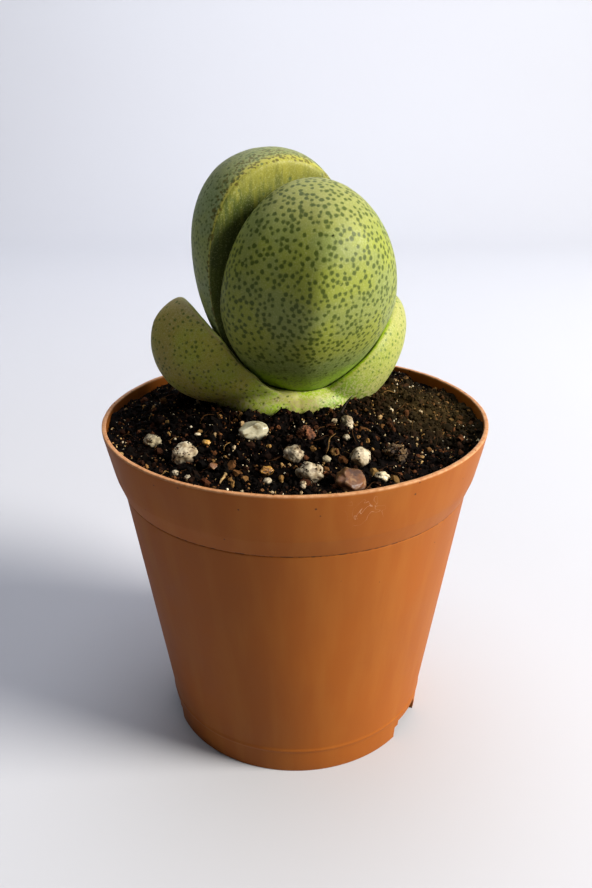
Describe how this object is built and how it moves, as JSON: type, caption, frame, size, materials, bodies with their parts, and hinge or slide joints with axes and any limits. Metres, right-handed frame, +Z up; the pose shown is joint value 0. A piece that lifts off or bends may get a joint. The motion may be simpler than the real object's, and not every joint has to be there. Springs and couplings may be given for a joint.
{
  "type": "potted split rock succulent",
  "caption": "Small split rock succulent with swollen, dotted paired leaves, heaped gritty soil and a tapered plastic nursery pot.",
  "frame": {"origin": "on the pot's axis at the underside of its foot ring", "axes": "+Z up along the pot's axis, -Y towards the side the picture was taken from, +X to the right there"},
  "size_m": [0.055, 0.055, 0.0849],
  "materials": {
    "pot_plastic": "satin moulded",
    "potting_soil": "crumbly",
    "root_bark": "rough",
    "inner_leaf_skin": "waxy, dotted",
    "outer_leaf_skin": "waxy, dotted, dusty",
    "quartz": "translucent",
    "perlite": "porous",
    "bark": "rough",
    "grit_stone": "rough"
  },
  "bodies": {
    "root": {"pot": "pot_plastic", "soil": "potting_soil", "root_crown": "root_bark", "inner_leaf_front": "inner_leaf_skin", "inner_leaf_back": "inner_leaf_skin", "outer_leaf_left": "outer_leaf_skin", "outer_leaf_right": "outer_leaf_skin", "quartz_grain": "quartz", "perlite_left": "perlite", "perlite_middle_back": "perlite", "perlite_middle": "perlite", "perlite_small": "perlite", "perlite_right": "perlite", "bark_chip_left": "bark", "bark_lump_red": "bark", "bark_lump_fibrous": "bark", "stone_brown": "grit_stone", "stone_cream": "grit_stone", "stone_amber": "grit_stone"}
  },
  "joints": []
}
